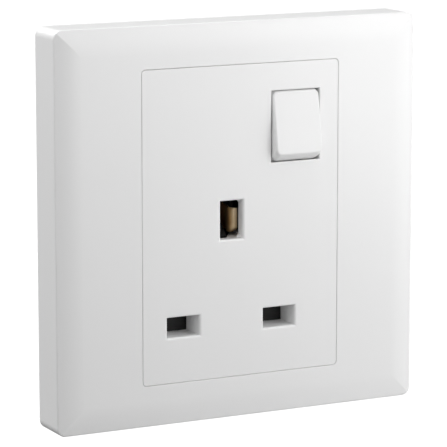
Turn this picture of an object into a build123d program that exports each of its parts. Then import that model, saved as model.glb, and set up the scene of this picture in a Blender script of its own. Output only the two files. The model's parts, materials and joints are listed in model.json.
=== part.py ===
from build123d import *
from math import asin, cos, radians, sin, sqrt
import os

# A single 13 A socket outlet with a rocker switch, as it hangs on the wall.
# X runs to the right seen from the front, Y into the wall, Z up. All sizes are in millimetres.
# The wall surface is y = 0, and the origin is midway between the two fixing slots.

# Square cover frame
PLATE_SIZE = 86.0
PLATE_DEPTH = 9.3
PLATE_CORNER_RADIUS = 2.0
CROWN_RISE = 1.1
CROWN_WIDTH = 5.6
CREASE_RADIUS = 0.45
FRAME_WALL = 2.2
FRAME_FRONT_THICKNESS = 2.0
FRAME_RIB_THICKNESS = 1.4
FRAME_RIB_CLEARANCE = 0.9
FRAME_RIB_OFFSETS = (-18.0, 18.0)
WINDOW_LIP_THICKNESS = 1.3
WINDOW_LIP_DEPTH = 2.2
WINDOW_EDGE_RADIUS = 0.15

# Cuts run this far past the surfaces they open, and edges are picked with this slack
THROUGH = 1.0
PICK_SLACK = 0.01

# Module panel in the frame's window
PANEL_WIDTH = 47.0
PANEL_HEIGHT = 67.6
PANEL_GAP = 0.07
PANEL_CORNER_RADIUS = 0.8
PANEL_EDGE_RADIUS = 0.18
FACE_THICKNESS = 2.0
SKIRT_THICKNESS = 1.5

# Pin pattern, pins and apertures
PIN_SPACING = 22.2
POWER_PIN_WIDTH = 6.35
POWER_PIN_THICKNESS = 4.0
POWER_PIN_LENGTH = 17.7
EARTH_PIN_THICKNESS = 4.0
EARTH_PIN_HEIGHT = 8.0
EARTH_PIN_LENGTH = 22.7
SOCKET_FROM_LEFT = 21.2
SOCKET_FROM_BOTTOM = 23.2
POWER_APERTURE_WIDTH = 7.7
POWER_APERTURE_HEIGHT = 4.4
APERTURE_SPREAD = 0.45
EARTH_APERTURE_WIDTH = 5.4
EARTH_APERTURE_HEIGHT = 8.4
APERTURE_EDGE_RADIUS = 0.5
EARTH_APERTURE_DEPTH = 2.3
EARTH_COLLAR_WALL = 1.2
EARTH_BACK_CHAMFER = 0.8
LEDGE_FRONT_REACH = 0.2
LEDGE_THICKNESS = 1.0
TUNNEL_DEPTH = 6.6
TUNNEL_WALL = 1.2

# Support plate, fixed to the wall box by two screws
SUPPORT_THICKNESS = 3.0
SUPPORT_GAP = 0.4
SUPPORT_CORNER_RADIUS = 1.2
SUPPORT_COLLAR_THICKNESS = 1.2
SUPPORT_COLLAR_HEIGHT = 1.6
COLLAR_GAP = 0.25
FIXING_SPACING = 60.3
FIXING_SLOT_WIDTH = 4.2
FIXING_SLOT_LENGTH = 6.4

# Snap clips that hold the frame to the support plate
CLIP_SETBACK = 4.0
CLIP_Z = 26.0
CLIP_THICKNESS = 1.4
CLIP_WIDTH = 8.0
CLIP_BARB = 0.8
CLIP_BARB_LENGTH = 1.0
CLIP_END_SETBACK = 0.7
CLIP_LEDGE = 1.2
CLIP_GAP = 0.3

# Rear housing
HOUSING_SIDE_ROOM = 1.1
HOUSING_END_ROOM = 1.5
HOUSING_WALL = 1.6
HOUSING_FLOOR = 1.8
HOUSING_CORNER_RADIUS = 1.5
HOUSING_GAP = 0.3
PARTITION = 1.0
BARB_REACH = 1.0
BARB_LENGTH = 2.2
BARB_WIDTH = 7.0
BARB_Z = 21.0

# Contacts
STRIP = 0.8
LEAF = 0.6
STRIP_WIDTH = 3.0
PIN_END_GAP = 0.5
NEUTRAL_STRIP_OFFSET = 0.8
LINE_STRIP_OFFSET = 1.9
EARTH_STRIP_OFFSET = -1.5
POWER_MOUTH = 5.2
POWER_GRIP = 0.4
POWER_THROAT_DEPTH = 2.4
POWER_LEAF_SPREAD = 5.2
EARTH_GRIP = 0.5
EARTH_THROAT_DEPTH = 6.0
EARTH_LIP_RADIUS = 2.2
EARTH_LIP_TURN = 72.0
EARTH_LIP_CUT = 1.1
EARTH_BEND_DEPTH = 9.0
EARTH_LEAF_SPREAD = 6.0
EARTH_LEAF_WIDTH = 5.3
EARTH_LEAF_DROP = 0.9

# Shutter behind the power apertures
SHUTTER_THICKNESS = 2.3
SHUTTER_TRAVEL = 5.6
SHUTTER_COVER = 1.1
SHUTTER_SIDE_COVER = 1.1
SLIDE_GAP = 0.2
STEM_WIDTH = 8.0
STEM_SLOT_WIDTH = 3.2
STEM_BRIDGE = 3.2
WEDGE_THICKNESS = 2.0
WEDGE_START_DEPTH = 4.9
WEDGE_BACK = 0.9
GUIDE_GAP = 0.25
GUIDE_THICKNESS = 1.0
GUIDE_LENGTH = 10.0
PEG_HEIGHT = 1.5
PEG_WIDTH = 2.4
PEG_GAP = 0.3
SPRING_WIRE = 0.35
SHUTTER_SPRING_RADIUS = 0.95
SHUTTER_SPRING_TURNS = 8

# Rocker and its well
ROCKER_FROM_RIGHT = 10.4
ROCKER_FROM_TOP = 13.8
ROCKER_OPENING_WIDTH = 11.7
ROCKER_OPENING_HEIGHT = 15.5
ROCKER_SIDE_GAP = 0.2
ROCKER_END_GAP = 0.2
ROCKER_LIP = 0.45
ROCKER_TILT = 9.2
ROCKER_PIVOT_DEPTH = 3.4
ROCKER_CROWN = 1.15
ROCKER_WALL = 1.4
ROCKER_SKIRT = 1.6
ROCKER_CORNER_RADIUS = 1.2
ROCKER_EDGE_RADIUS = 0.5
ROCKER_OPENING_EDGE_RADIUS = 0.25
TRUNNION_RADIUS = 1.2
TRUNNION_CLEARANCE = 0.05
WELL_WALL = 1.4
WELL_END_CLEARANCE = 0.35
WELL_DEPTH = 4.8
STEM_RADIUS = 2.4
STEM_LENGTH = 4.5
STEM_BORE_RADIUS = 1.5
STEM_BORE_END = 1.9

# Plunger, its spring, and the see-saw contact bar
PLUNGER_RADIUS = 1.1
PLUNGER_COLLAR_CLEARANCE = 0.08
PLUNGER_COLLAR_BACK = 1.5
PLUNGER_COLLAR_LENGTH = 2.8
PLUNGER_MID_GAP = 0.05
PLUNGER_SPRING_RADIUS = 1.15
PLUNGER_SPRING_TURNS = 5
BAR_FRONT_DEPTH = 13.9
BAR_THICKNESS = 1.0
BAR_HALF_LENGTH = 8.0
BAR_WIDTH = 5.0
BAR_TILT = 8.0
FULCRUM_GAP = 0.12
SILVER_RADIUS = 1.3
SILVER_THICKNESS = 0.8
SILVER_OFFSET = 6.5
CONTACT_GAP = 0.08

# Terminals
TERMINAL_WIDTH = 7.0
TERMINAL_HEIGHT = 9.0
TERMINAL_DEPTH = 9.0
TERMINAL_PITCH = 9.0
LINE_TERMINAL_X = 3.0
TERMINAL_TOP_GAP = 0.4
CONDUCTOR_RADIUS = 2.2
CONDUCTOR_ENTRY_RADIUS = 3.0
CONDUCTOR_SETBACK = 5.6
TERMINAL_SCREW_RADIUS = 1.9
THREAD_CLEARANCE = 0.05
TERMINAL_SCREW_LENGTH = 4.9
TERMINAL_SCREW_TIP_GAP = 0.1
TERMINAL_ACCESS_RADIUS = 2.4
SCREW_SLOT_WIDTH = 0.7
SCREW_SLOT_DEPTH = 0.8

# Screws that hold the rear housing to the module face
BOSS_RADIUS = 2.3
BOSS_SETBACK = 2.4
BOSS_BELOW_TERMINALS = 6.2
BOSS_BELOW_ROCKER = 11.2
LEFT_BOSS_ABOVE_PINS = 9.6
RIGHT_BOSS_ABOVE_PINS = 1.6
HOUSING_SCREW_RADIUS = 1.2
HOUSING_SCREW_HEAD_RADIUS = 2.0
HOUSING_SCREW_HEAD_HEIGHT = 1.4
HOUSING_SCREW_HEAD_SINK = 0.2
HOUSING_SCREW_END = 1.4
SHANK_CLEARANCE = 0.2

# Earth strap that bonds the two fixing screws
STRAP_THICKNESS = 0.7
STRAP_WIDTH = 8.0
STRAP_SIDE_GAP = 0.1
STRAP_EYELET_MARGIN = 1.6
STRAP_SLOT_EXTRA = 0.5
RIVET_X = 6.0
RIVET_RADIUS = 1.5
RIVET_HEAD_RADIUS = 2.3
RIVET_HEAD_HEIGHT = 0.8
RIVET_CLEARANCE = 0.05

# Places worked out from the sizes above
FACE_Y = -(PLATE_DEPTH + CROWN_RISE)
FACE_BACK_Y = FACE_Y + FACE_THICKNESS
FRAME_BACK_Y = FACE_Y + FRAME_FRONT_THICKNESS
SUPPORT_FRONT_Y = -SUPPORT_THICKNESS
TUNNEL_END_Y = FACE_Y + TUNNEL_DEPTH
SHUTTER_FRONT_Y = TUNNEL_END_Y + SLIDE_GAP
SHUTTER_BACK_Y = SHUTTER_FRONT_Y + SHUTTER_THICKNESS
HOUSING_FRONT_Y = SHUTTER_BACK_Y + SLIDE_GAP
POWER_BASE_Y = FACE_Y + POWER_PIN_LENGTH + PIN_END_GAP
PLINTH_Y = POWER_BASE_Y + STRIP
EARTH_BASE_Y = FACE_Y + EARTH_PIN_LENGTH + PIN_END_GAP
FLOOR_Y = EARTH_BASE_Y + STRIP
HOUSING_BACK_Y = FLOOR_Y + HOUSING_FLOOR

SOCKET_X = SOCKET_FROM_LEFT - PANEL_WIDTH / 2
SOCKET_Z = SOCKET_FROM_BOTTOM - PANEL_HEIGHT / 2
NEUTRAL_X = SOCKET_X - PIN_SPACING / 2
LINE_X = SOCKET_X + PIN_SPACING / 2
POWER_Z = SOCKET_Z - PIN_SPACING / 2
EARTH_Z = SOCKET_Z + PIN_SPACING / 2
NEUTRAL_APERTURE_X = NEUTRAL_X - APERTURE_SPREAD
LINE_APERTURE_X = LINE_X + APERTURE_SPREAD
EARTH_COLLAR_Y = FACE_Y + EARTH_APERTURE_DEPTH

WINDOW_WIDTH = PANEL_WIDTH + 2 * PANEL_GAP
WINDOW_HEIGHT = PANEL_HEIGHT + 2 * PANEL_GAP
FRAME_INNER = PLATE_SIZE - 2 * FRAME_WALL
SUPPORT_SIZE = FRAME_INNER - 2 * SUPPORT_GAP
FRAME_RIB_REACH = (FRAME_INNER - WINDOW_HEIGHT) / 2 - WINDOW_LIP_THICKNESS - FRAME_RIB_CLEARANCE
CLIP_X = SUPPORT_SIZE / 2 - CLIP_SETBACK
FIXING_X = FIXING_SPACING / 2

ROCKER_X = PANEL_WIDTH / 2 - ROCKER_FROM_RIGHT
ROCKER_Z = PANEL_HEIGHT / 2 - ROCKER_FROM_TOP
PIVOT_Y = FACE_Y + ROCKER_PIVOT_DEPTH
ROCKER_WIDTH = ROCKER_OPENING_WIDTH - 2 * ROCKER_SIDE_GAP
ROCKER_HALF_OPENING = ROCKER_OPENING_HEIGHT / 2
ROCKER_SWEEP_RADIUS = sqrt((ROCKER_HALF_OPENING - ROCKER_END_GAP) ** 2
                           + (ROCKER_PIVOT_DEPTH - ROCKER_LIP) ** 2)
ROCKER_FRONT = -(ROCKER_PIVOT_DEPTH + ROCKER_CROWN)
WELL_HALF_HEIGHT = ROCKER_SWEEP_RADIUS + WELL_END_CLEARANCE

BAR_PIVOT_Y = FACE_Y + BAR_FRONT_DEPTH + BAR_THICKNESS
PLUNGER_REACH = BAR_PIVOT_Y - BAR_THICKNESS - PIVOT_Y - PLUNGER_MID_GAP
MOVING_SILVER_TOP = SILVER_OFFSET + SILVER_RADIUS
SILVER_CLOSED_Y = (BAR_PIVOT_Y + SILVER_THICKNESS * cos(radians(BAR_TILT))
                   + MOVING_SILVER_TOP * sin(radians(BAR_TILT)) + CONTACT_GAP)
FEED_STRIP_Y = SILVER_CLOSED_Y + SILVER_THICKNESS

HOUSING_INNER_HEIGHT = 2 * (ROCKER_Z + SILVER_OFFSET + STRIP_WIDTH / 2 + HOUSING_END_ROOM)
HOUSING_HEIGHT = HOUSING_INNER_HEIGHT + 2 * HOUSING_WALL
TERMINAL_X = {
    "line": LINE_TERMINAL_X,
    "earth": LINE_TERMINAL_X - TERMINAL_PITCH,
    "neutral": LINE_TERMINAL_X - 2 * TERMINAL_PITCH,
}
WIDEST_CONTENT = max(TERMINAL_WIDTH / 2 - TERMINAL_X["neutral"], POWER_PIN_WIDTH / 2 - NEUTRAL_X)
HOUSING_INNER_WIDTH = 2 * (WIDEST_CONTENT + HOUSING_SIDE_ROOM)
HOUSING_WIDTH = HOUSING_INNER_WIDTH + 2 * HOUSING_WALL
TERMINAL_TOP_Z = HOUSING_INNER_HEIGHT / 2 - TERMINAL_TOP_GAP
TERMINAL_BOTTOM_Z = TERMINAL_TOP_Z - TERMINAL_HEIGHT
TERMINAL_Z = (TERMINAL_TOP_Z + TERMINAL_BOTTOM_Z) / 2
TERMINAL_FRONT_Y = FLOOR_Y - TERMINAL_DEPTH
CONDUCTOR_Y = FLOOR_Y - CONDUCTOR_SETBACK
TERMINAL_SCREW_TIP_Y = CONDUCTOR_Y + CONDUCTOR_RADIUS + TERMINAL_SCREW_TIP_GAP

BOSS_X = HOUSING_INNER_WIDTH / 2 - BOSS_SETBACK
HOUSING_SCREWS = (
    (-BOSS_X, TERMINAL_BOTTOM_Z - BOSS_BELOW_TERMINALS),
    (BOSS_X, ROCKER_Z - BOSS_BELOW_ROCKER),
    (-BOSS_X, POWER_Z + LEFT_BOSS_ABOVE_PINS),
    (BOSS_X, POWER_Z + RIGHT_BOSS_ABOVE_PINS),
)

NEUTRAL_STRIP_X = NEUTRAL_X + NEUTRAL_STRIP_OFFSET
LINE_STRIP_X = LINE_X + LINE_STRIP_OFFSET
EARTH_STRIP_X = SOCKET_X + EARTH_STRIP_OFFSET

LEDGE_TOP_Z = EARTH_Z - EARTH_APERTURE_HEIGHT / 2
STEM_TOP_Z = EARTH_Z - EARTH_PIN_HEIGHT / 2 + SLIDE_GAP
CROSSBAR_TOP_Z = POWER_Z + POWER_APERTURE_HEIGHT / 2 + SHUTTER_COVER
CROSSBAR_BOTTOM_Z = POWER_Z - POWER_APERTURE_HEIGHT / 2 - SHUTTER_COVER
STEM_SLOT_TOP_Z = STEM_TOP_Z - STEM_BRIDGE
EARTH_LEAF_BOTTOM_Z = EARTH_Z - EARTH_LEAF_DROP - EARTH_LEAF_WIDTH / 2
EARTH_LEAF_TOP_Z = EARTH_LEAF_BOTTOM_Z + EARTH_LEAF_WIDTH
PEG_BOTTOM_Z = CROSSBAR_TOP_Z + PEG_GAP
PEG_TOP_Z = PEG_BOTTOM_Z + PEG_HEIGHT


def block(x0, x1, y0, y1, z0, z1):
    """Box between two opposite corners."""
    return Pos((x0 + x1) / 2, (y0 + y1) / 2, (z0 + z1) / 2) * Box(x1 - x0, y1 - y0, z1 - z0)


def front_plane(cx, cz, y):
    """Plane facing into the wall at depth y, centred on (cx, cz)."""
    return Plane(origin=(cx, y, cz), x_dir=(1, 0, 0), z_dir=(0, 1, 0))


def pad(cx, cz, width, height, y0, y1):
    """Box centred on (cx, cz) seen from the front, from y0 back to y1."""
    return block(cx - width / 2, cx + width / 2, y0, y1, cz - height / 2, cz + height / 2)


def rounded_pad(cx, cz, width, height, radius, y0, y1):
    """Slab with rounded corners seen from the front, from y0 back to y1."""
    return extrude(front_plane(cx, cz, y0) * RectangleRounded(width, height, radius), y1 - y0)


def rod(cx, cz, radius, y0, y1):
    """Round bar along Y."""
    return extrude(front_plane(cx, cz, y0) * Circle(radius), y1 - y0)


def slot_pad(cx, cz, length, width, y0, y1):
    """Slab with round ends, long along X, from y0 back to y1."""
    return extrude(front_plane(cx, cz, y0) * SlotOverall(length, width), y1 - y0)


def side_prism(points, x0, x1):
    """Outline in (y, z), drawn out along X from x0 to x1."""
    plane = Plane(origin=(x0, 0, 0), x_dir=(0, 1, 0), z_dir=(1, 0, 0))
    return extrude(plane * make_face(Polyline(*points, close=True)), x1 - x0)


def plan_prism(points, z0, z1):
    """Outline in (x, y), drawn out along Z from z0 to z1."""
    plane = Plane(origin=(0, 0, z0), x_dir=(1, 0, 0), z_dir=(0, 0, 1))
    return extrude(plane * make_face(Polyline(*points, close=True)), z1 - z0)


def ring(width, height, wall, radius, y0, y1):
    """Rectangular band round the middle, wall thick, inside the given outer size."""
    outer = rounded_pad(0, 0, width, height, radius, y0, y1)
    return outer - pad(0, 0, width - 2 * wall, height - 2 * wall, y0, y1)


def front_edges(shape, y, half_width, half_height, cx=0.0, cz=0.0):
    """Edges in the plane y that lie within a half size of (cx, cz)."""
    def inside(edge):
        box = edge.bounding_box()
        flat = abs(box.min.Y - y) < 1e-4 and abs(box.max.Y - y) < 1e-4
        across = max(abs(box.min.X - cx), abs(box.max.X - cx)) <= half_width
        upright = max(abs(box.min.Z - cz), abs(box.max.Z - cz)) <= half_height
        return flat and across and upright
    return shape.edges().filter_by(inside)


def crowned_outline():
    """Section of the whole plate: flat back, straight sides, a low crown at each side, flat front."""
    half = PLATE_SIZE / 2
    radius = (CROWN_WIDTH ** 2 + CROWN_RISE ** 2) / (2 * CROWN_RISE)
    half_turn = asin(CROWN_WIDTH / radius) / 2
    inner = half - CROWN_WIDTH
    mid = (inner + radius * sin(half_turn), FACE_Y + radius * (1 - cos(half_turn)))
    right = ThreePointArc((half, -PLATE_DEPTH), mid, (inner, FACE_Y))
    left = ThreePointArc((-inner, FACE_Y), (-mid[0], mid[1]), (-half, -PLATE_DEPTH))
    back = Polyline((-half, -PLATE_DEPTH), (-half, 0), (half, 0), (half, -PLATE_DEPTH))
    front = Line((inner, FACE_Y), (-inner, FACE_Y))
    return make_face(Curve() + [right, front, left, back])


def cover_frame():
    """Moulded square frame with a low crown, ribs inside and four snap clips."""
    half = PLATE_SIZE / 2
    upright = extrude(Plane(origin=(0, 0, -half)) * crowned_outline(), PLATE_SIZE)
    across_plane = Plane(origin=(-half, 0, 0), x_dir=(0, 0, -1), z_dir=(1, 0, 0))
    across = extrude(across_plane * crowned_outline(), PLATE_SIZE)
    body = upright & across
    body = body & rounded_pad(0, 0, PLATE_SIZE, PLATE_SIZE, PLATE_CORNER_RADIUS, FACE_Y - THROUGH, 0)
    crease = body.edges().filter_by(lambda e: abs(e.center().Y + PLATE_DEPTH) < CROWN_RISE / 2
                                    and e.bounding_box().size.Y < CROWN_RISE / 2)
    body = fillet(crease, CREASE_RADIUS)
    inner_radius = PLATE_CORNER_RADIUS / 2
    body -= rounded_pad(0, 0, FRAME_INNER, FRAME_INNER, inner_radius, FRAME_BACK_Y, THROUGH)
    window_radius = PANEL_CORNER_RADIUS + PANEL_GAP
    body -= rounded_pad(0, 0, WINDOW_WIDTH, WINDOW_HEIGHT, window_radius, FACE_Y - THROUGH, THROUGH)
    window = front_edges(body, FACE_Y, WINDOW_WIDTH / 2 + PICK_SLACK, WINDOW_HEIGHT / 2 + PICK_SLACK)
    body = fillet(window, WINDOW_EDGE_RADIUS)

    lip_width = WINDOW_WIDTH + 2 * WINDOW_LIP_THICKNESS
    lip_height = WINDOW_HEIGHT + 2 * WINDOW_LIP_THICKNESS
    lip_end_y = FRAME_BACK_Y + WINDOW_LIP_DEPTH
    lip = rounded_pad(0, 0, lip_width, lip_height, WINDOW_LIP_THICKNESS, FRAME_BACK_Y, lip_end_y)
    body += lip - rounded_pad(0, 0, WINDOW_WIDTH, WINDOW_HEIGHT, window_radius, FRAME_BACK_Y, lip_end_y)

    wall = FRAME_INNER / 2
    for side in (-1, 1):
        for offset in FRAME_RIB_OFFSETS:
            middle = side * (wall - FRAME_RIB_REACH / 2)
            body += pad(offset, middle, FRAME_RIB_THICKNESS, FRAME_RIB_REACH, FRAME_BACK_Y, SUPPORT_FRONT_Y)
            body += pad(middle, offset, FRAME_RIB_REACH, FRAME_RIB_THICKNESS, FRAME_BACK_Y, SUPPORT_FRONT_Y)
        for level in (-CLIP_Z, CLIP_Z):
            body += snap_clip(side, level)
    return body


def snap_clip(side, level):
    """Tongue with a barb on its outer side, which hooks behind a ledge of the support plate."""
    tongue = pad(side * CLIP_X, level, CLIP_THICKNESS, CLIP_WIDTH, FRAME_BACK_Y, -CLIP_END_SETBACK)
    root = side * (CLIP_X + CLIP_THICKNESS / 2)
    tip = root + side * CLIP_BARB
    barb_front = -CLIP_END_SETBACK - CLIP_BARB_LENGTH
    outline = ((root, barb_front), (tip, barb_front), (root, -CLIP_END_SETBACK))
    return tongue + plan_prism(outline, level - CLIP_WIDTH / 2, level + CLIP_WIDTH / 2)


def support_plate():
    """Flat plate that the wall screws hold, with a window, a collar, two slots and four clip pockets."""
    body = rounded_pad(0, 0, SUPPORT_SIZE, SUPPORT_SIZE, SUPPORT_CORNER_RADIUS, SUPPORT_FRONT_Y, 0)
    collar_width = PANEL_WIDTH + 2 * (COLLAR_GAP + SUPPORT_COLLAR_THICKNESS)
    collar_height = PANEL_HEIGHT + 2 * (COLLAR_GAP + SUPPORT_COLLAR_THICKNESS)
    collar_front = SUPPORT_FRONT_Y - SUPPORT_COLLAR_HEIGHT
    body += ring(collar_width, collar_height, SUPPORT_COLLAR_THICKNESS, SUPPORT_COLLAR_THICKNESS,
                 collar_front, SUPPORT_FRONT_Y)
    window_width = HOUSING_WIDTH + 2 * HOUSING_GAP
    window_height = HOUSING_HEIGHT + 2 * HOUSING_GAP
    body -= pad(0, 0, window_width, window_height, FACE_Y, THROUGH)
    ledge_back = SUPPORT_FRONT_Y + CLIP_LEDGE
    for side in (-1, 1):
        body -= slot_pad(side * FIXING_X, 0, FIXING_SLOT_LENGTH, FIXING_SLOT_WIDTH, FACE_Y, THROUGH)
        for level in (-CLIP_Z, CLIP_Z):
            pocket = CLIP_THICKNESS + 2 * CLIP_GAP
            body -= pad(side * CLIP_X, level, pocket, CLIP_WIDTH + 2 * CLIP_GAP, FACE_Y, THROUGH)
            relief = CLIP_BARB + CLIP_GAP
            relief_x = side * (CLIP_X + CLIP_THICKNESS / 2 + relief / 2)
            body -= pad(relief_x, level, relief, CLIP_WIDTH + 2 * CLIP_GAP, ledge_back, THROUGH)
    return body


def aperture_edge(body, cx, cz, width, height, radius):
    """Small round on the front edge of an aperture."""
    edges = front_edges(body, FACE_Y, width / 2 + PICK_SLACK, height / 2 + PICK_SLACK, cx, cz)
    return fillet(edges, radius)


def socket_face():
    """Moulded module face: panel, skirt, pin tunnels, rocker well, screw bosses, shutter guides."""
    body = rounded_pad(0, 0, PANEL_WIDTH, PANEL_HEIGHT, PANEL_CORNER_RADIUS, FACE_Y, FACE_BACK_Y)
    rim = front_edges(body, FACE_Y, PANEL_WIDTH, PANEL_HEIGHT)
    body = fillet(rim, PANEL_EDGE_RADIUS)
    body += ring(PANEL_WIDTH, PANEL_HEIGHT, SKIRT_THICKNESS, PANEL_CORNER_RADIUS, FACE_BACK_Y, SUPPORT_FRONT_Y)

    for x in (NEUTRAL_APERTURE_X, LINE_APERTURE_X):
        outer_width = POWER_APERTURE_WIDTH + 2 * TUNNEL_WALL
        outer_height = POWER_APERTURE_HEIGHT + 2 * TUNNEL_WALL
        body += pad(x, POWER_Z, outer_width, outer_height, FACE_BACK_Y, TUNNEL_END_Y)
        body -= pad(x, POWER_Z, POWER_APERTURE_WIDTH, POWER_APERTURE_HEIGHT, FACE_Y - THROUGH, TUNNEL_END_Y)
        body = aperture_edge(body, x, POWER_Z, POWER_APERTURE_WIDTH, POWER_APERTURE_HEIGHT,
                             APERTURE_EDGE_RADIUS)

    collar_width = EARTH_APERTURE_WIDTH + 2 * EARTH_COLLAR_WALL
    collar_height = EARTH_APERTURE_HEIGHT + 2 * EARTH_COLLAR_WALL
    body += pad(SOCKET_X, EARTH_Z, collar_width, collar_height, FACE_BACK_Y, EARTH_COLLAR_Y)
    body -= pad(SOCKET_X, EARTH_Z, EARTH_APERTURE_WIDTH, EARTH_APERTURE_HEIGHT,
                FACE_Y - THROUGH, EARTH_COLLAR_Y)
    body = aperture_edge(body, SOCKET_X, EARTH_Z, EARTH_APERTURE_WIDTH, EARTH_APERTURE_HEIGHT,
                         APERTURE_EDGE_RADIUS)
    body += earth_corner_gussets() + earth_ledge()

    body += rocker_well()
    body -= pad(ROCKER_X, ROCKER_Z, ROCKER_OPENING_WIDTH, ROCKER_OPENING_HEIGHT, FACE_Y - THROUGH, FACE_BACK_Y)
    body = aperture_edge(body, ROCKER_X, ROCKER_Z, ROCKER_OPENING_WIDTH, ROCKER_OPENING_HEIGHT,
                         ROCKER_OPENING_EDGE_RADIUS)
    swept = Cylinder(WELL_HALF_HEIGHT, ROCKER_OPENING_WIDTH, rotation=(0, 90, 0))
    behind_lip = pad(ROCKER_X, ROCKER_Z, ROCKER_OPENING_WIDTH, 2 * WELL_HALF_HEIGHT,
                     FACE_Y + ROCKER_LIP, FACE_BACK_Y)
    body -= (Pos(ROCKER_X, PIVOT_Y, ROCKER_Z) * swept) & behind_lip

    for x, z in HOUSING_SCREWS:
        body += rod(x, z, BOSS_RADIUS, FACE_BACK_Y, HOUSING_FRONT_Y)
    for x, z in HOUSING_SCREWS:
        body -= rod(x, z, HOUSING_SCREW_RADIUS + THREAD_CLEARANCE, FACE_BACK_Y, HOUSING_FRONT_Y)

    guide_x = STEM_WIDTH / 2 + GUIDE_GAP + GUIDE_THICKNESS / 2
    guide_z = STEM_TOP_Z - GUIDE_LENGTH / 2
    for side in (-1, 1):
        body += pad(SOCKET_X + side * guide_x, guide_z, GUIDE_THICKNESS, GUIDE_LENGTH,
                    FACE_BACK_Y, SHUTTER_BACK_Y)
    body += block(SOCKET_X - PEG_WIDTH / 2, SOCKET_X + PEG_WIDTH / 2, FACE_BACK_Y, SHUTTER_BACK_Y,
                  PEG_BOTTOM_Z, PEG_TOP_Z)
    return body


def earth_corner_gussets():
    """Small fillings at the back corners of the earth aperture, outside the pin's own section."""
    pieces = Part()
    start_y = EARTH_COLLAR_Y - EARTH_BACK_CHAMFER
    for across in (-1, 1):
        for up in (-1, 1):
            corner_x = SOCKET_X + across * EARTH_APERTURE_WIDTH / 2
            corner_z = EARTH_Z + up * EARTH_APERTURE_HEIGHT / 2
            points = ((corner_x, corner_z), (corner_x - across * EARTH_BACK_CHAMFER, corner_z),
                      (corner_x, corner_z - up * EARTH_BACK_CHAMFER))
            plane = Plane(origin=(0, start_y, 0), x_dir=(1, 0, 0), z_dir=(0, -1, 0))
            triangle = plane * make_face(Polyline(*points, close=True))
            pieces += extrude(triangle, -EARTH_BACK_CHAMFER)
    return pieces


def earth_ledge():
    """Shelf below the earth aperture, beside the shutter's ramp, wider at the front than at the back."""
    guide_side = SOCKET_X + STEM_WIDTH / 2 + GUIDE_GAP + GUIDE_THICKNESS
    outline = ((SOCKET_X - LEDGE_FRONT_REACH, EARTH_COLLAR_Y), (guide_side, EARTH_COLLAR_Y),
               (guide_side, SHUTTER_BACK_Y), (SOCKET_X + STEM_WIDTH / 2, SHUTTER_BACK_Y))
    return plan_prism(outline, LEDGE_TOP_Z - LEDGE_THICKNESS, LEDGE_TOP_Z)


def rocker_well():
    """Four walls behind the rocker's opening, with a bearing hole in each side wall."""
    outer_width = ROCKER_OPENING_WIDTH + 2 * WELL_WALL
    outer_height = 2 * (WELL_HALF_HEIGHT + WELL_WALL)
    well_end = FACE_BACK_Y + WELL_DEPTH
    walls = pad(ROCKER_X, ROCKER_Z, outer_width, outer_height, FACE_BACK_Y, well_end)
    walls -= pad(ROCKER_X, ROCKER_Z, ROCKER_OPENING_WIDTH, 2 * WELL_HALF_HEIGHT, FACE_BACK_Y, well_end)
    bearing = Cylinder(TRUNNION_RADIUS + TRUNNION_CLEARANCE, outer_width, rotation=(0, 90, 0))
    return walls - Pos(ROCKER_X, PIVOT_Y, ROCKER_Z) * bearing


def rocker():
    """Switch rocker, built level round its pivot and then tipped to off: top in, bottom out."""
    def section(inset):
        """Side outline: flat front, ends that are arcs round the pivot, straight back."""
        radius = ROCKER_SWEEP_RADIUS - inset
        front = ROCKER_FRONT + inset
        front_half = sqrt(radius ** 2 - front ** 2)
        back_half = sqrt(radius ** 2 - ROCKER_SKIRT ** 2)
        upper = ThreePointArc((front, front_half), (0, radius), (ROCKER_SKIRT, back_half))
        lower = ThreePointArc((ROCKER_SKIRT, -back_half), (0, -radius), (front, -front_half))
        face = Line((front, -front_half), (front, front_half))
        back = Line((ROCKER_SKIRT, back_half), (ROCKER_SKIRT, -back_half))
        return make_face(Curve() + [face, upper, back, lower])

    def drawn(inset, width):
        plane = Plane(origin=(-width / 2, 0, 0), x_dir=(0, 1, 0), z_dir=(1, 0, 0))
        return extrude(plane * section(inset), width)

    shell = drawn(0, ROCKER_WIDTH)
    corners = shell.edges().filter_by(
        lambda e: abs(abs(e.center().X) - ROCKER_WIDTH / 2) < 1e-4 and e.geom_type == GeomType.CIRCLE)
    shell = fillet(corners, ROCKER_CORNER_RADIUS)
    rim = front_edges(shell, ROCKER_FRONT, ROCKER_WIDTH, ROCKER_SWEEP_RADIUS)
    shell = fillet(rim, ROCKER_EDGE_RADIUS)
    shell -= drawn(ROCKER_WALL, ROCKER_WIDTH - 2 * ROCKER_WALL)

    stem_front = ROCKER_FRONT + ROCKER_WALL
    shell += rod(0, 0, STEM_RADIUS, stem_front, STEM_LENGTH)
    shell -= rod(0, 0, STEM_BORE_RADIUS, stem_front + STEM_BORE_END, STEM_LENGTH)
    trunnion_length = ROCKER_OPENING_WIDTH + 2 * WELL_WALL
    pin_end = (trunnion_length - ROCKER_WIDTH) / 2 + ROCKER_WALL
    for side in (-1, 1):
        pin = Cylinder(TRUNNION_RADIUS, pin_end, rotation=(0, 90, 0))
        shell += Pos(side * (trunnion_length / 2 - pin_end / 2), 0, 0) * pin
    return tipped(shell)


def tipped(shape):
    """Carry a piece built level round the rocker's pivot to its place in the off position."""
    return Pos(ROCKER_X, PIVOT_Y, ROCKER_Z) * Rot(-ROCKER_TILT, 0, 0) * shape


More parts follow.
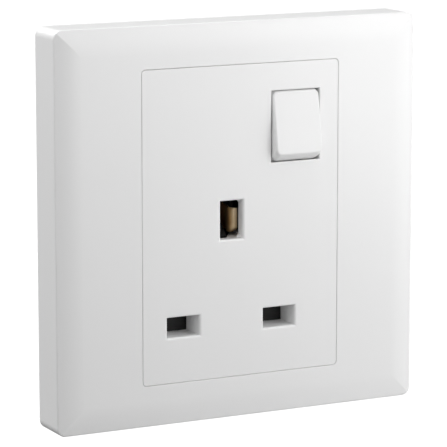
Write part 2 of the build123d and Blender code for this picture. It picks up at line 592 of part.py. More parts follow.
def switch_plunger():
    """Round-nosed pin that slides in the rocker's stem and leans on the contact bar."""
    collar_radius = STEM_BORE_RADIUS - PLUNGER_COLLAR_CLEARANCE
    collar_end = PLUNGER_COLLAR_BACK + PLUNGER_COLLAR_LENGTH
    pin = rod(0, 0, collar_radius, PLUNGER_COLLAR_BACK, collar_end)
    nose = PLUNGER_REACH - PLUNGER_RADIUS
    pin += rod(0, 0, PLUNGER_RADIUS, collar_end, nose)
    pin += Pos(0, nose, 0) * Sphere(PLUNGER_RADIUS)
    return tipped(pin)


def coil(radius, length, turns):
    """Open coil spring along Z, standing on the origin, with its wire inside the stated length."""
    height = length - SPRING_WIRE
    path = Helix(pitch=height / turns, height=height, radius=radius)
    section = Plane(origin=path @ 0, z_dir=path % 0) * Circle(SPRING_WIRE / 2)
    return Pos(0, 0, SPRING_WIRE / 2) * sweep(section, path=path)


def plunger_spring():
    """Coil between the bottom of the stem's bore and the plunger's collar."""
    start = ROCKER_FRONT + ROCKER_WALL + STEM_BORE_END
    spring = coil(PLUNGER_SPRING_RADIUS, PLUNGER_COLLAR_BACK - start, PLUNGER_SPRING_TURNS)
    return tipped(Pos(0, start, 0) * Rot(-90, 0, 0) * spring)


def on_bar(shape):
    """Carry a piece built level round the bar's fulcrum to its place in the off position."""
    return Pos(ROCKER_X, BAR_PIVOT_Y, ROCKER_Z) * Rot(BAR_TILT, 0, 0) * shape


def switch_bridge():
    """See-saw contact bar that rocks on the fulcrum."""
    bar = pad(0, 0, BAR_WIDTH, 2 * BAR_HALF_LENGTH, -BAR_THICKNESS, 0)
    return on_bar(bar)


def moving_silver_contact():
    """Silver button on the back of the bar's upper end."""
    return on_bar(rod(0, SILVER_OFFSET, SILVER_RADIUS, 0, SILVER_THICKNESS))


def fixed_silver_contact():
    """Silver button on the feed strip, which the bar's button meets when the switch is on."""
    return rod(ROCKER_X, ROCKER_Z + SILVER_OFFSET, SILVER_RADIUS, SILVER_CLOSED_Y, FEED_STRIP_Y)


def line_feed_strip():
    """Strip from the line terminal's side to the fixed silver contact."""
    terminal_side = TERMINAL_X["line"] + TERMINAL_WIDTH / 2
    end = ROCKER_X + SILVER_RADIUS + STRIP
    middle_z = ROCKER_Z + SILVER_OFFSET
    return block(terminal_side, end, FEED_STRIP_Y, FEED_STRIP_Y + STRIP,
                 middle_z - STRIP_WIDTH / 2, middle_z + STRIP_WIDTH / 2)


def power_leaf(x, side):
    """Spring leaf above or below a power pin: straight foot, narrow throat, flared mouth."""
    foot = POWER_LEAF_SPREAD / 2
    throat = (POWER_PIN_THICKNESS - POWER_GRIP) / 2
    mouth = POWER_MOUTH / 2
    mouth_y = HOUSING_FRONT_Y + SLIDE_GAP
    throat_y = mouth_y + POWER_THROAT_DEPTH
    inner = ((PLINTH_Y, foot), (throat_y, throat), (mouth_y, mouth))
    points = [(y, POWER_Z + side * z) for y, z in inner]
    points += [(y, POWER_Z + side * (z + LEAF)) for y, z in reversed(inner)]
    return side_prism(points, x - POWER_PIN_WIDTH / 2, x + POWER_PIN_WIDTH / 2)


def power_contact(x, strip_x, strip_top_z):
    """Clip for a power pin with a strip that runs up from its base."""
    half_base = POWER_LEAF_SPREAD / 2 + LEAF
    body = pad(x, POWER_Z, POWER_PIN_WIDTH, 2 * half_base, POWER_BASE_Y, PLINTH_Y)
    for side in (-1, 1):
        body += power_leaf(x, side)
    body += block(strip_x - STRIP_WIDTH / 2, strip_x + STRIP_WIDTH / 2, POWER_BASE_Y, PLINTH_Y,
                  POWER_Z + half_base, strip_top_z)
    return body


def neutral_contact():
    """Neutral clip, its strip ending at the neutral terminal."""
    return power_contact(NEUTRAL_X, NEUTRAL_STRIP_X, TERMINAL_BOTTOM_Z)


def line_contact():
    """Line clip, its strip ending in the fulcrum that carries the switch bar."""
    half = STRIP / 2
    body = power_contact(LINE_X, LINE_STRIP_X, ROCKER_Z + half)
    left = LINE_STRIP_X - STRIP_WIDTH / 2
    right = ROCKER_X + BAR_WIDTH / 2
    body += block(left, right, POWER_BASE_Y, PLINTH_Y, ROCKER_Z + half - STRIP_WIDTH, ROCKER_Z + half)
    body += block(ROCKER_X - BAR_WIDTH / 2, right, BAR_PIVOT_Y + FULCRUM_GAP, PLINTH_Y,
                  ROCKER_Z - half, ROCKER_Z + half)
    return body


def earth_leaf(side):
    """Leaf beside the earth pin: foot, inclined leg, and a lip that curls away from the pin."""
    foot = EARTH_LEAF_SPREAD / 2
    throat_y = FACE_Y + EARTH_THROAT_DEPTH
    bend_y = FACE_Y + EARTH_BEND_DEPTH
    centre_x = (EARTH_PIN_THICKNESS - EARTH_GRIP) / 2 + EARTH_LIP_RADIUS

    def lip(radius):
        """Points of the curl at its throat, halfway and at its mouth."""
        turns = (0, radians(EARTH_LIP_TURN / 2), radians(EARTH_LIP_TURN))
        return [(SOCKET_X + side * (centre_x - radius * cos(turn)), throat_y - radius * sin(turn))
                for turn in turns]

    inner = lip(EARTH_LIP_RADIUS)
    outer = lip(EARTH_LIP_RADIUS - LEAF)
    back_inner = ((SOCKET_X + side * foot, bend_y), (SOCKET_X + side * foot, FLOOR_Y))
    back_outer = [(x + side * LEAF, y) for x, y in reversed(back_inner)]
    outline = Curve() + [
        Polyline(inner[0], *back_inner, *back_outer, outer[0]),
        ThreePointArc(*outer),
        Line(outer[2], inner[2]),
        ThreePointArc(*reversed(inner)),
    ]
    leaf = extrude(Plane(origin=(0, 0, EARTH_LEAF_BOTTOM_Z)) * make_face(outline), EARTH_LEAF_WIDTH)
    mouth_y = inner[2][1]
    corner = ((mouth_y, EARTH_LEAF_BOTTOM_Z), (mouth_y, EARTH_LEAF_BOTTOM_Z + EARTH_LIP_CUT),
              (mouth_y + EARTH_LIP_CUT, EARTH_LEAF_BOTTOM_Z))
    reach = foot + EARTH_LIP_RADIUS
    return leaf - side_prism(corner, SOCKET_X - reach, SOCKET_X + reach)


def earth_contact():
    """Two leaves left and right of the earth pin on one base, with a riveted tab and a terminal strip."""
    foot = EARTH_LEAF_SPREAD / 2
    body = block(SOCKET_X - foot - LEAF, SOCKET_X + foot + LEAF, EARTH_BASE_Y, FLOOR_Y,
                 EARTH_LEAF_BOTTOM_Z, EARTH_LEAF_TOP_Z)
    for side in (-1, 1):
        body += earth_leaf(side)
    tab_end = RIVET_X + RIVET_HEAD_RADIUS
    body += block(SOCKET_X + foot, tab_end, EARTH_BASE_Y, FLOOR_Y,
                  EARTH_Z - RIVET_HEAD_RADIUS, EARTH_Z + RIVET_HEAD_RADIUS - EARTH_LEAF_DROP)
    body += block(EARTH_STRIP_X - STRIP_WIDTH / 2, EARTH_STRIP_X + STRIP_WIDTH / 2, EARTH_BASE_Y, FLOOR_Y,
                  EARTH_LEAF_TOP_Z, TERMINAL_BOTTOM_Z)
    return body - rod(RIVET_X, EARTH_Z, RIVET_RADIUS + RIVET_CLEARANCE, EARTH_BASE_Y, FLOOR_Y)


def earth_strap():
    """Band behind the plate and round the housing, with an eyelet at each fixing slot."""
    side_x = HOUSING_WIDTH / 2 + STRAP_SIDE_GAP
    outer_x = side_x + STRAP_THICKNESS
    back_y = HOUSING_BACK_Y + STRAP_THICKNESS
    eyelet_x = FIXING_X + FIXING_SLOT_LENGTH / 2 + STRAP_EYELET_MARGIN
    body = block(-outer_x, outer_x, HOUSING_BACK_Y, back_y, -STRAP_WIDTH / 2, STRAP_WIDTH / 2)
    for side in (-1, 1):
        inner, outer = sorted((side * side_x, side * outer_x))
        body += block(inner, outer, 0, back_y, -STRAP_WIDTH / 2, STRAP_WIDTH / 2)
        inner, outer = sorted((side * side_x, side * eyelet_x))
        body += block(inner, outer, 0, STRAP_THICKNESS, -STRAP_WIDTH / 2, STRAP_WIDTH / 2)
        slot_length = FIXING_SLOT_LENGTH + STRAP_SLOT_EXTRA
        body -= slot_pad(side * FIXING_X, 0, slot_length, FIXING_SLOT_WIDTH + STRAP_SLOT_EXTRA,
                         -THROUGH, STRAP_THICKNESS + THROUGH)
    return body - rod(RIVET_X, EARTH_Z, RIVET_RADIUS + RIVET_CLEARANCE, HOUSING_BACK_Y, back_y)


def earth_strap_rivet():
    """Rivet through the earth contact's tab, the housing floor and the strap."""
    back_y = HOUSING_BACK_Y + STRAP_THICKNESS
    body = rod(RIVET_X, EARTH_Z, RIVET_RADIUS, EARTH_BASE_Y, back_y)
    body += rod(RIVET_X, EARTH_Z, RIVET_HEAD_RADIUS, EARTH_BASE_Y - RIVET_HEAD_HEIGHT, EARTH_BASE_Y)
    return body + rod(RIVET_X, EARTH_Z, RIVET_HEAD_RADIUS, back_y, back_y + RIVET_HEAD_HEIGHT)


def shutter():
    """Safety shutter: crossbar over both power apertures, slotted stem notched for the ledge, ramp."""
    left = NEUTRAL_APERTURE_X - POWER_APERTURE_WIDTH / 2 - SHUTTER_SIDE_COVER
    right = LINE_APERTURE_X + POWER_APERTURE_WIDTH / 2 + SHUTTER_SIDE_COVER
    body = block(left, right, SHUTTER_FRONT_Y, SHUTTER_BACK_Y, CROSSBAR_BOTTOM_Z, CROSSBAR_TOP_Z)
    body += block(SOCKET_X - STEM_WIDTH / 2, SOCKET_X + STEM_WIDTH / 2, SHUTTER_FRONT_Y, SHUTTER_BACK_Y,
                  CROSSBAR_TOP_Z, STEM_TOP_Z)
    body -= block(SOCKET_X - STEM_SLOT_WIDTH / 2, SOCKET_X + STEM_SLOT_WIDTH / 2,
                  SHUTTER_FRONT_Y, SHUTTER_BACK_Y, CROSSBAR_TOP_Z, STEM_SLOT_TOP_Z)
    body -= block(SOCKET_X + WEDGE_THICKNESS / 2, SOCKET_X + STEM_WIDTH / 2, SHUTTER_FRONT_Y, SHUTTER_BACK_Y,
                  LEDGE_TOP_Z - LEDGE_THICKNESS - GUIDE_GAP, STEM_TOP_Z)
    ramp_y = FACE_Y + WEDGE_START_DEPTH
    ramp_z = EARTH_Z - EARTH_PIN_HEIGHT / 2
    ramp = ((ramp_y, STEM_SLOT_TOP_Z), (ramp_y, ramp_z),
            (ramp_y + SHUTTER_TRAVEL, ramp_z + SHUTTER_TRAVEL),
            (ramp_y + SHUTTER_TRAVEL + WEDGE_BACK, ramp_z + SHUTTER_TRAVEL),
            (ramp_y + SHUTTER_TRAVEL + WEDGE_BACK, STEM_SLOT_TOP_Z))
    return body + side_prism(ramp, SOCKET_X - WEDGE_THICKNESS / 2, SOCKET_X + WEDGE_THICKNESS / 2)


def shutter_spring():
    """Coil in the stem's slot, between the face's peg and the slot's upper end."""
    spring = coil(SHUTTER_SPRING_RADIUS, STEM_SLOT_TOP_Z - PEG_TOP_Z, SHUTTER_SPRING_TURNS)
    return Pos(SOCKET_X, (SHUTTER_FRONT_Y + SHUTTER_BACK_Y) / 2, PEG_TOP_Z) * spring


def terminal(x):
    """Brass block with a conductor bore along Z and a threaded hole from the back."""
    body = pad(x, TERMINAL_Z, TERMINAL_WIDTH, TERMINAL_HEIGHT, TERMINAL_FRONT_Y, FLOOR_Y)
    bore = Cylinder(CONDUCTOR_RADIUS, TERMINAL_HEIGHT)
    body -= Pos(x, CONDUCTOR_Y, TERMINAL_Z) * bore
    return body - rod(x, TERMINAL_Z, TERMINAL_SCREW_RADIUS + THREAD_CLEARANCE, CONDUCTOR_Y, FLOOR_Y)


def terminal_screw(x):
    """Headless slotted screw, backed off so that the conductor bore is clear."""
    end = TERMINAL_SCREW_TIP_Y + TERMINAL_SCREW_LENGTH
    body = rod(x, TERMINAL_Z, TERMINAL_SCREW_RADIUS, TERMINAL_SCREW_TIP_Y, end)
    slot_length = 2 * TERMINAL_SCREW_RADIUS + THROUGH
    return body - pad(x, TERMINAL_Z, SCREW_SLOT_WIDTH, slot_length, end - SCREW_SLOT_DEPTH, end)


def housing_screw(x, z):
    """Cheese-head screw through the housing's post into the face's boss."""
    seat_y = HOUSING_BACK_Y - HOUSING_SCREW_HEAD_SINK - HOUSING_SCREW_HEAD_HEIGHT
    head_end = seat_y + HOUSING_SCREW_HEAD_HEIGHT
    body = rod(x, z, HOUSING_SCREW_RADIUS, FACE_BACK_Y + HOUSING_SCREW_END, seat_y)
    body += rod(x, z, HOUSING_SCREW_HEAD_RADIUS, seat_y, head_end)
    slot_length = 2 * HOUSING_SCREW_HEAD_RADIUS + THROUGH
    return body - pad(x, z, slot_length, SCREW_SLOT_WIDTH, head_end - SCREW_SLOT_DEPTH, head_end)


def housing_ribs():
    """Plinths, strip supports and partitions on the housing's floor."""
    half_base = POWER_LEAF_SPREAD / 2 + LEAF
    chamber = half_base + PARTITION
    ribs = Part()
    for x in (NEUTRAL_X, LINE_X):
        ribs += pad(x, POWER_Z, POWER_PIN_WIDTH, 2 * half_base, PLINTH_Y, FLOOR_Y)
        for side in (-1, 1):
            wall_z = POWER_Z + side * (chamber + PARTITION / 2)
            ribs += pad(x, wall_z, POWER_PIN_WIDTH, PARTITION, HOUSING_FRONT_Y, FLOOR_Y)
    rib_bottom = POWER_Z + chamber
    ribs += block(NEUTRAL_STRIP_X - PARTITION / 2, NEUTRAL_STRIP_X + PARTITION / 2, PLINTH_Y, FLOOR_Y,
                  rib_bottom, TERMINAL_BOTTOM_Z)
    ribs += block(LINE_STRIP_X - PARTITION / 2, LINE_STRIP_X + PARTITION / 2, PLINTH_Y, FLOOR_Y,
                  rib_bottom, ROCKER_Z)
    ribs += block(LINE_STRIP_X, ROCKER_X + BAR_WIDTH / 2, PLINTH_Y, FLOOR_Y,
                  ROCKER_Z - STRIP_WIDTH / 2, ROCKER_Z + STRIP / 2)
    ribs += pad(ROCKER_X, ROCKER_Z + SILVER_OFFSET, 2 * SILVER_RADIUS, STRIP_WIDTH,
                FEED_STRIP_Y + STRIP, FLOOR_Y)
    gap_x = (TERMINAL_PITCH - TERMINAL_WIDTH) / 2
    wall_bottom = TERMINAL_BOTTOM_Z - TERMINAL_TOP_GAP
    wall_top = HOUSING_INNER_HEIGHT / 2
    for name in ("line", "earth"):
        wall_x = TERMINAL_X[name] - TERMINAL_WIDTH / 2 - gap_x
        ribs += block(wall_x - PARTITION / 2, wall_x + PARTITION / 2, TERMINAL_FRONT_Y, FLOOR_Y,
                      wall_bottom, wall_top)
    earth_side = EARTH_LEAF_SPREAD / 2 + LEAF + PARTITION
    chamber_bottom = STEM_SLOT_TOP_Z - SHUTTER_TRAVEL - 2 * PARTITION
    for side in (-1, 1):
        wall_x = SOCKET_X + side * earth_side
        ribs += block(wall_x - PARTITION / 2, wall_x + PARTITION / 2, HOUSING_FRONT_Y, FLOOR_Y,
                      chamber_bottom, EARTH_Z + EARTH_PIN_HEIGHT / 2)
    return ribs


def strip_ways():
    """Room in the ribs for the neutral, line and earth strips."""
    clear = GUIDE_GAP
    reach = STRIP_WIDTH + 2 * clear
    ways = Part()
    for x in (NEUTRAL_STRIP_X, LINE_STRIP_X):
        ways += block(x - reach / 2, x + reach / 2, POWER_BASE_Y - clear, PLINTH_Y, POWER_Z, EARTH_Z)
    ways += block(SOCKET_X, RIVET_X + RIVET_HEAD_RADIUS + clear, EARTH_BASE_Y - RIVET_HEAD_HEIGHT - clear,
                  FLOOR_Y, EARTH_Z - RIVET_HEAD_RADIUS - clear, EARTH_Z + RIVET_HEAD_RADIUS + clear)
    return ways


def rear_housing():
    """Deep tray behind the module face, open to the front, with posts for its four screws."""
    body = rounded_pad(0, 0, HOUSING_WIDTH, HOUSING_HEIGHT, HOUSING_CORNER_RADIUS,
                       HOUSING_FRONT_Y, HOUSING_BACK_Y)
    back_edges = front_edges(body, HOUSING_BACK_Y, HOUSING_WIDTH, HOUSING_HEIGHT)
    body = chamfer(back_edges, PARTITION)
    body -= pad(0, 0, HOUSING_INNER_WIDTH, HOUSING_INNER_HEIGHT, HOUSING_FRONT_Y, FLOOR_Y)
    body += housing_ribs() - strip_ways()

    seat_y = HOUSING_BACK_Y - HOUSING_SCREW_HEAD_SINK - HOUSING_SCREW_HEAD_HEIGHT
    for x, z in HOUSING_SCREWS:
        body += rod(x, z, BOSS_RADIUS, HOUSING_FRONT_Y, FLOOR_Y)
    for x, z in HOUSING_SCREWS:
        body -= rod(x, z, HOUSING_SCREW_RADIUS + SHANK_CLEARANCE, HOUSING_FRONT_Y, HOUSING_BACK_Y)
        body -= rod(x, z, HOUSING_SCREW_HEAD_RADIUS + SHANK_CLEARANCE, seat_y, HOUSING_BACK_Y)
    for x in TERMINAL_X.values():
        body -= rod(x, TERMINAL_Z, TERMINAL_ACCESS_RADIUS, FLOOR_Y, HOUSING_BACK_Y)
        entry = Cylinder(CONDUCTOR_ENTRY_RADIUS, 2 * HOUSING_WALL)
        body -= Pos(x, CONDUCTOR_Y, HOUSING_HEIGHT / 2 - HOUSING_WALL / 2) * entry
    body -= rod(RIVET_X, EARTH_Z, RIVET_RADIUS + RIVET_CLEARANCE, FLOOR_Y, HOUSING_BACK_Y)

    side_x = HOUSING_WIDTH / 2
    for side in (-1, 1):
        outline = ((side * side_x, COLLAR_GAP), (side * (side_x + BARB_REACH), COLLAR_GAP),
                   (side * side_x, COLLAR_GAP + BARB_LENGTH))
        for level in (-BARB_Z, BARB_Z):
            body += plan_prism(outline, level - BARB_WIDTH / 2, level + BARB_WIDTH / 2)
    return body


def build_pieces():
    """Every separate piece of the outlet, by name."""
    pieces = {
        "cover_frame": cover_frame(),
        "support_plate": support_plate(),
        "socket_face": socket_face(),
        "rear_housing": rear_housing(),
        "earth_strap": earth_strap(),
        "earth_strap_rivet": earth_strap_rivet(),
        "earth_contact": earth_contact(),
        "neutral_contact": neutral_contact(),
        "line_contact": line_contact(),
        "line_feed_strip": line_feed_strip(),
        "fixed_silver_contact": fixed_silver_contact(),
        "switch_bridge": switch_bridge(),
        "moving_silver_contact": moving_silver_contact(),
        "rocker": rocker(),
        "switch_plunger": switch_plunger(),
        "plunger_spring": plunger_spring(),
        "shutter": shutter(),
        "shutter_spring": shutter_spring(),
    }
    for name, x in TERMINAL_X.items():
        pieces[f"{name}_terminal"] = terminal(x)
        pieces[f"{name}_terminal_screw"] = terminal_screw(x)
    for number, (x, z) in enumerate(HOUSING_SCREWS, start=1):
        pieces[f"housing_screw_{number}"] = housing_screw(x, z)
    return pieces


os.makedirs("parts", exist_ok=True)
for piece_name, piece in build_pieces().items():
    export_step(piece, f"parts/{piece_name}.step")
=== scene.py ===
import json
import math

import bmesh
import bpy
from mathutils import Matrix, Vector


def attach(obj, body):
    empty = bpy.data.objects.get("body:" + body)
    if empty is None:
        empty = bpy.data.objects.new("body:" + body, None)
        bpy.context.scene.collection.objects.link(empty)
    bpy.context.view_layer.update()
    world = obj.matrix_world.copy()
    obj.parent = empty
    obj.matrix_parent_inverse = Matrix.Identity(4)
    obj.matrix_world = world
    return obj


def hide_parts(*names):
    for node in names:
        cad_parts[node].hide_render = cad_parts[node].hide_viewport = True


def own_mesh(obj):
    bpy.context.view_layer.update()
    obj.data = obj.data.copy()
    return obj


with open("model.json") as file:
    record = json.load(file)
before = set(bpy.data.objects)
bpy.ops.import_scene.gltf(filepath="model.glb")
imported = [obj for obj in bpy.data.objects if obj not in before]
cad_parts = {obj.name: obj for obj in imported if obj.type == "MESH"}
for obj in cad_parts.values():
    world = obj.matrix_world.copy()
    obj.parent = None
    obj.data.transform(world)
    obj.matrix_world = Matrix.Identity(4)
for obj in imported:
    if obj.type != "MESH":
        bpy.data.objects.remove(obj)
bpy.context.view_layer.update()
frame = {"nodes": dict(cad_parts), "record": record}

# Everything is in metres in the frame of the solids: X right, Y into the wall, Z up.
MM = 0.001

# Camera, placed from the outline of the plate in the photograph, with its angles in degrees
CAMERA_TARGET = Vector((0.00099, 0.0, -0.00217))
CAMERA_DISTANCE = 0.6008
CAMERA_AZIMUTH = -27.11
CAMERA_ELEVATION = 10.11
CAMERA_LENS = 222.18
CAMERA_SENSOR = 36.0
CAMERA_CLIP = (0.01, 100.0)

# Floor far below the outlet, with a wall and a ceiling as pale as itself all round
FLOOR_Z = -2.0
FLOOR_RADIUS = 4.0
FLOOR_SEGMENTS = 96
ROOM_HEIGHT = 4.0
FLOOR_DARK = 0.86
FLOOR_LIGHT = 0.88
FLOOR_CLOUDS = 0.4
FLOOR_ROUGHNESS = 0.9
FLOOR_GLOW = 1.0

# Even light from all round
PURE_WHITE = (1, 1, 1, 1)
WORLD_LEVEL = 0.13

# Square soft lamps: azimuth and elevation in degrees, distance and size in metres, power in watts
LAMPS = {
    "right_near": (50, 15, 0.25, 0.20, 0.268),
    "front_near": (20, 15, 0.25, 0.20, 0.172),
    "top": (30, 85, 0.20, 0.20, 0.130),
    "upper": (25, 62, 0.24, 0.20, 0.048),
    "left_front": (-50, 10, 0.50, 0.34, 0.205),
    "left": (-82, 14, 0.50, 0.34, 0.850),
    "below": (60, -40, 0.50, 0.34, 0.740),
    "back_left": (-150, 45, 0.50, 0.34, 1.95),
}

# Moulded plastic: size of its colour clouds and of the patches in its gloss
CLOUD_SIZE = 30 * MM
GLOSS_SIZE = 0.9 * MM

# Moulded plastic: size of the grain on each kind of piece
WHITE_GRAIN = 0.25 * MM
DARK_GRAIN = 0.22 * MM
SHUTTER_GRAIN = 0.20 * MM
PLATE_GRAIN = 0.18 * MM

# Moulded plastic: depth of the grain, from the smoothest surface to the coarsest
ROCKER_RELIEF = 0.0005 * MM
POLISHED_RELIEF = 0.0006 * MM
MARK_RELIEF = 0.002 * MM
SATIN_RELIEF = 0.004 * MM
COARSE_RELIEF = 0.010 * MM

# Metal: size of its tarnish, of the patches in its gloss and of its grain, and the grain's depth
TARNISH_SIZE = 2.2 * MM
METAL_GLOSS_SIZE = 0.5 * MM
METAL_GRAIN = 0.16 * MM
METAL_RELIEF = 0.004 * MM

# Stretch of a noise along each axis: none, or drawn out along Z as in rolled sheet
EVEN = (1, 1, 1)
ROLLED = (1, 1, 0.12)

# Radius that eases the sharp edges of each kind of piece
SCREW_EDGE = 0.05 * MM
SHEET_METAL_EDGE = 0.06 * MM
WHITE_EDGE = 0.08 * MM
SHUTTER_EDGE = 0.10 * MM
PLATE_EDGE = 0.12 * MM
HOUSING_EDGE = 0.15 * MM
EDGE_SAMPLES = 6

# Part of a noise's span that is mapped onto a range of values
NOISE_SPAN = (0.3, 0.7)
TARNISH_SPAN = (0.35, 0.65)

# Detail of the noises
CLOUD_DETAIL = 2
GRAIN_DETAIL = 3
TARNISH_DETAIL = 4
RELIEF_STRENGTH = 1.0

# Raised marks under the terminal screws, on the back of the housing
MARK_HEIGHT = 3.0 * MM
MARK_RAISED = 0.25 * MM
MARK_SUNK = 0.05 * MM
MARK_CENTRE_Z = 19.9 * MM
HOUSING_BACK_Y = 15.4 * MM
MARKS = {"L": 3.0 * MM, "E": -6.0 * MM, "N": -15.0 * MM}

# Outlines of the marks, as parts of their height
MARK_OUTLINES = {
    "L": ((0, 0), (0.58, 0), (0.58, 0.16), (0.18, 0.16), (0.18, 1), (0, 1)),
    "E": ((0, 0), (0.58, 0), (0.58, 0.16), (0.18, 0.16), (0.18, 0.42), (0.50, 0.42), (0.50, 0.58),
          (0.18, 0.58), (0.18, 0.84), (0.58, 0.84), (0.58, 1), (0, 1)),
    "N": ((0, 0), (0.17, 0), (0.17, 0.68), (0.51, 0), (0.68, 0), (0.68, 1), (0.51, 1), (0.51, 0.32),
          (0.17, 1), (0, 1)),
}

# Springs: body, joint that shortens it, direction, still end and the share of its length kept
SPRINGS = {
    "shutter_spring": ("root", "shutter_slide", (0, 0, 1), (-2.3 * MM, 0, -16.6 * MM), 0.44),
    "plunger_spring": ("rocker", "plunger_slide", (0, -0.98714, 0.15988),
                       (13.1 * MM, -8.234 * MM, 20.2 * MM), 0.70),
}


def direction(azimuth, elevation):
    """Unit vector from the outlet towards a place round it, in degrees; azimuth 0 is in front."""
    a, e = math.radians(azimuth), math.radians(elevation)
    return Vector((math.sin(a) * math.cos(e), -math.cos(a) * math.cos(e), math.sin(e)))


def grey(value):
    return (value, value, value)


class Shader:
    """A material whose nodes are added and linked one by one."""

    def __init__(self, name):
        self.material = bpy.data.materials.new(name)
        self.material.use_nodes = True
        self.tree = self.material.node_tree
        self.surface = self.tree.nodes["Principled BSDF"]

    def node(self, kind, **values):
        made = self.tree.nodes.new(kind)
        for key, value in values.items():
            setattr(made, key, value)
        return made

    def link(self, source, target):
        self.tree.links.new(source, target)

    def set(self, name, value):
        self.surface.inputs[name].default_value = value

    def coordinates(self, stretch):
        """Places on the piece in metres, stretched along each axis."""
        place = self.node("ShaderNodeTexCoord")
        mapping = self.node("ShaderNodeMapping")
        mapping.inputs["Scale"].default_value = stretch
        self.link(place.outputs["Object"], mapping.inputs["Vector"])
        return mapping.outputs["Vector"]

    def noise(self, size, detail, stretch=EVEN):
        """Noise with patches of about the given size in metres."""
        made = self.node("ShaderNodeTexNoise")
        made.inputs["Scale"].default_value = 1 / size
        made.inputs["Detail"].default_value = detail
        self.link(self.coordinates(stretch), made.inputs["Vector"])
        return made.outputs["Fac"]

    def spread(self, source, low, high, span=NOISE_SPAN):
        """Map a noise onto the range low to high."""
        made = self.node("ShaderNodeMapRange")
        made.inputs["From Min"].default_value = span[0]
        made.inputs["From Max"].default_value = span[1]
        made.inputs["To Min"].default_value = low
        made.inputs["To Max"].default_value = high
        self.link(source, made.inputs["Value"])
        return made.outputs["Result"]

    def tint(self, source, dark, light, span=NOISE_SPAN):
        """Blend two colours by a noise."""
        made = self.node("ShaderNodeMix", data_type="RGBA")
        made.inputs["A"].default_value = (*dark, 1)
        made.inputs["B"].default_value = (*light, 1)
        self.link(self.spread(source, 0, 1, span), made.inputs["Factor"])
        self.link(made.outputs["Result"], self.surface.inputs["Base Color"])

    def rough(self, source, low, high):
        """Vary the roughness by a noise."""
        self.link(self.spread(source, low, high), self.surface.inputs["Roughness"])

    def relief(self, source, height, edge):
        """Bump from a noise, over edges eased by a small radius unless that is None."""
        made = self.node("ShaderNodeBump")
        made.inputs["Strength"].default_value = RELIEF_STRENGTH
        made.inputs["Distance"].default_value = height
        self.link(source, made.inputs["Height"])
        if edge:
            eased = self.node("ShaderNodeBevel", samples=EDGE_SAMPLES)
            eased.inputs["Radius"].default_value = edge
            self.link(eased.outputs["Normal"], made.inputs["Normal"])
        self.link(made.outputs["Normal"], self.surface.inputs["Normal"])


def moulded(name, dark, light, rough, grain, height, edge):
    """Moulded plastic: faint clouds of colour, uneven gloss and a fine surface grain."""
    shader = Shader(name)
    shader.tint(shader.noise(CLOUD_SIZE, CLOUD_DETAIL), dark, light)
    shader.rough(shader.noise(GLOSS_SIZE, GRAIN_DETAIL), *rough)
    shader.relief(shader.noise(grain, GRAIN_DETAIL), height, edge)
    return shader


def metal(name, dark, light, rough, edge, streak=EVEN):
    """Worked metal: colour that varies with its tarnish, and streaks where it is rolled."""
    shader = Shader(name)
    shader.set("Metallic", 1.0)
    shader.tint(shader.noise(TARNISH_SIZE, TARNISH_DETAIL), dark, light, TARNISH_SPAN)
    shader.rough(shader.noise(METAL_GLOSS_SIZE, GRAIN_DETAIL, streak), *rough)
    shader.relief(shader.noise(METAL_GRAIN, GRAIN_DETAIL, streak), METAL_RELIEF, edge)
    return shader


materials = {
    "white_plastic": moulded("frame white", grey(0.893), grey(0.905), (0.300, 0.325),
                             WHITE_GRAIN, POLISHED_RELIEF, WHITE_EDGE),
    "panel_plastic": moulded("panel white", grey(0.893), grey(0.905), (0.300, 0.325),
                             WHITE_GRAIN, POLISHED_RELIEF, WHITE_EDGE),
    # Rocker: the frame's white plastic with painted shade, its colour made darker than the frame's
    # against the extra light from above on its tilted face
    "rocker_plastic": moulded("rocker white with painted shade", grey(0.857), grey(0.868), (0.330, 0.350),
                              WHITE_GRAIN, ROCKER_RELIEF, WHITE_EDGE),
    "plate_plastic": moulded("plate white", (0.80, 0.80, 0.78), (0.84, 0.84, 0.82), (0.42, 0.52),
                             PLATE_GRAIN, SATIN_RELIEF, PLATE_EDGE),
    "housing_plastic": moulded("housing dark", (0.050, 0.051, 0.053), (0.066, 0.067, 0.070),
                               (0.46, 0.60), DARK_GRAIN, COARSE_RELIEF, HOUSING_EDGE),
    "black_plastic": moulded("shutter black", grey(0.006), grey(0.009), (0.44, 0.52),
                             SHUTTER_GRAIN, SATIN_RELIEF, SHUTTER_EDGE),
    "brass": metal("brass", (0.80, 0.60, 0.36), (0.90, 0.71, 0.46), (0.38, 0.52),
                   SHEET_METAL_EDGE, ROLLED),
    "copper": metal("copper", (0.66, 0.33, 0.20), (0.84, 0.46, 0.32), (0.24, 0.38),
                    SHEET_METAL_EDGE, ROLLED),
    "silver": metal("silver", (0.62, 0.60, 0.56), (0.80, 0.79, 0.76), (0.28, 0.44), SCREW_EDGE),
    "steel": metal("zinc plated steel", (0.50, 0.51, 0.52), (0.66, 0.67, 0.69), (0.26, 0.42),
                   SCREW_EDGE),
}

for part in frame["record"]["subparts"]:
    cad_piece = frame["nodes"][part["node"]]
    cad_piece.data.materials.clear()
    cad_piece.data.materials.append(materials[part["material_slot"]].material)


def add_piece(name, mesh, body, finish):
    """Put a new mesh on a body, with a finish."""
    made = bpy.data.objects.new(name, mesh)
    bpy.context.scene.collection.objects.link(made)
    mesh.materials.clear()
    mesh.materials.append(finish.material)
    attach(made, body)
    return made


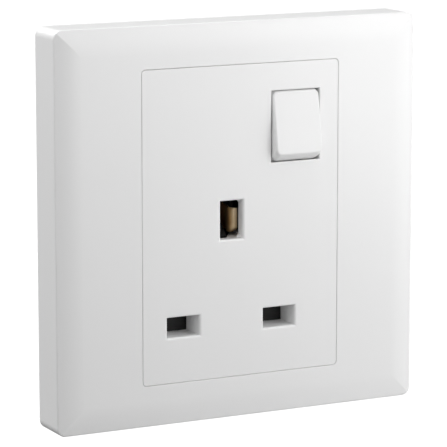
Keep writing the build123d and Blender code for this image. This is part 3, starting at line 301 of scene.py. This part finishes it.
def make_mark(letter, centre_x, finish):
    """Raised letter that reads from behind."""
    outline = MARK_OUTLINES[letter]
    width = max(u for u, v in outline)
    mesh = bpy.data.meshes.new("mark_" + letter)
    build = bmesh.new()
    front = HOUSING_BACK_Y - MARK_SUNK
    corners = [build.verts.new((centre_x - (u - width / 2) * MARK_HEIGHT, front,
                                MARK_CENTRE_Z + (v - 0.5) * MARK_HEIGHT)) for u, v in outline]
    base = build.faces.new(corners)
    grown = bmesh.ops.extrude_face_region(build, geom=[base])["geom"]
    raised = [item for item in grown if isinstance(item, bmesh.types.BMVert)]
    bmesh.ops.translate(build, verts=raised, vec=(0, MARK_SUNK + MARK_RAISED, 0))
    bmesh.ops.recalc_face_normals(build, faces=build.faces)
    build.to_mesh(mesh)
    build.free()
    add_piece("mark_" + letter, mesh, "root", finish)


def make_spring(node, body, joint, along, still_end, keep):
    """Spring copied onto its body, in place of the stiff solid."""
    solid = frame["nodes"][node]
    mesh = solid.data.copy()
    mesh.transform(solid.matrix_world)
    coil = add_piece("soft_" + node, mesh, body, materials["steel"])
    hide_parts(node)
    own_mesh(coil)


def stage_object(name, mesh):
    """Put a mesh of the surroundings into the scene."""
    made = bpy.data.objects.new(name, mesh)
    bpy.context.scene.collection.objects.link(made)
    return made


def make_floor():
    """Wide pale floor and room that the camera sees, and that neither shade nor light the outlet."""
    mesh = bpy.data.meshes.new("floor")
    build = bmesh.new()
    bmesh.ops.create_cone(build, cap_ends=True, segments=FLOOR_SEGMENTS, radius1=FLOOR_RADIUS,
                          radius2=FLOOR_RADIUS, depth=ROOM_HEIGHT)
    build.to_mesh(mesh)
    build.free()
    floor = stage_object("floor", mesh)
    floor.location.z = FLOOR_Z + ROOM_HEIGHT / 2
    floor.visible_diffuse = False
    floor.visible_glossy = False
    floor.visible_transmission = False
    floor.visible_shadow = False
    shader = Shader("floor")
    shader.tint(shader.noise(FLOOR_CLOUDS, CLOUD_DETAIL), grey(FLOOR_DARK), grey(FLOOR_LIGHT))
    shader.set("Roughness", FLOOR_ROUGHNESS)
    shader.set("Emission Color", PURE_WHITE)
    shader.set("Emission Strength", FLOOR_GLOW)
    mesh.materials.append(shader.material)


def make_world():
    """Pale, even surroundings."""
    world = bpy.data.worlds.new("surroundings")
    bpy.context.scene.world = world
    world.use_nodes = True
    background = world.node_tree.nodes["Background"]
    background.inputs["Color"].default_value = PURE_WHITE
    background.inputs["Strength"].default_value = WORLD_LEVEL


def make_lamp(name, azimuth, elevation, distance, size, power):
    """Square soft lamp aimed at the outlet's middle, out of the camera's sight."""
    data = bpy.data.lights.new(name, "AREA")
    data.size = size
    data.energy = power
    lamp = bpy.data.objects.new(name, data)
    bpy.context.scene.collection.objects.link(lamp)
    lamp.location = direction(azimuth, elevation) * distance
    lamp.rotation_mode = "QUATERNION"
    lamp.rotation_quaternion = (-lamp.location).to_track_quat("-Z", "Y")
    lamp.visible_camera = False


def make_camera():
    """Camera that sees the outlet as the photograph does."""
    data = bpy.data.cameras.new("camera")
    data.lens = CAMERA_LENS
    data.sensor_width = CAMERA_SENSOR
    data.clip_start, data.clip_end = CAMERA_CLIP
    camera = bpy.data.objects.new("camera", data)
    bpy.context.scene.collection.objects.link(camera)
    back = direction(CAMERA_AZIMUTH, CAMERA_ELEVATION)
    camera.location = CAMERA_TARGET + back * CAMERA_DISTANCE
    camera.rotation_mode = "QUATERNION"
    camera.rotation_quaternion = (-back).to_track_quat("-Z", "Y")
    bpy.context.scene.camera = camera


mark_finish = moulded("housing marks", grey(0.13), grey(0.16), (0.36, 0.44),
                      DARK_GRAIN, MARK_RELIEF, None)
for mark_letter, mark_x in MARKS.items():
    make_mark(mark_letter, mark_x, mark_finish)
for spring_node, spring_values in SPRINGS.items():
    make_spring(spring_node, *spring_values)
make_floor()
make_world()
for lamp_name, lamp_values in LAMPS.items():
    make_lamp(lamp_name, *lamp_values)
make_camera()
bpy.context.scene.view_settings.view_transform = "Standard"
